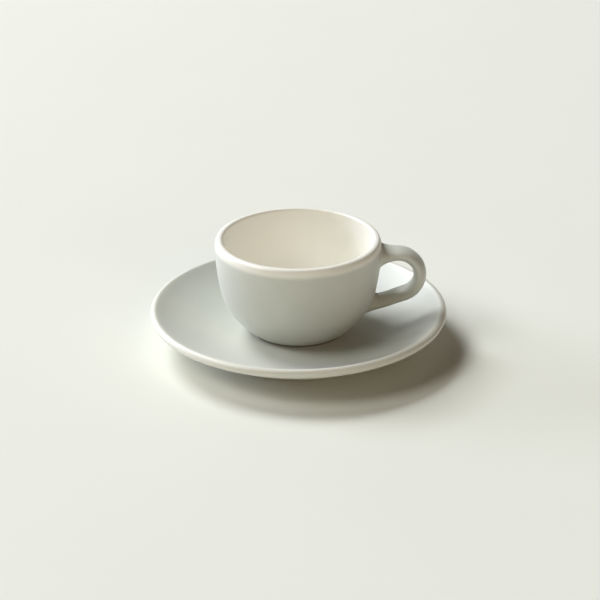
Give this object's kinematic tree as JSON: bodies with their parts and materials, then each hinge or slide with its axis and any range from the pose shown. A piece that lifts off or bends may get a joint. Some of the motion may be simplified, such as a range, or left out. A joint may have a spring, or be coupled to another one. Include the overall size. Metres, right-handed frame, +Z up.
{
  "type": "latte bowl with saucer",
  "caption": "Low round ceramic cup with a ring handle and a pale liner glaze, standing in the flat well of a deep coupe saucer and lifting straight off it.",
  "frame": {"origin": "on the table, under the middle of the saucer's foot ring", "axes": "+Z up, +X towards the cup's handle"},
  "size_m": [0.162, 0.162, 0.0616],
  "materials": {
    "saucer_glaze": "satin",
    "cup_glaze": "satin",
    "liner_glaze": "soft gloss"
  },
  "bodies": {
    "saucer": {"saucer": "saucer_glaze"},
    "cup": {"cup_bowl": "cup_glaze", "cup_handle": "cup_glaze", "cup_lining": "liner_glaze"}
  },
  "joints": [
    {"name": "cup_lift", "type": "slide", "parent": "saucer", "child": "cup", "axis": [0, 0, 1], "range_m": [0, 0.1]}
  ]
}
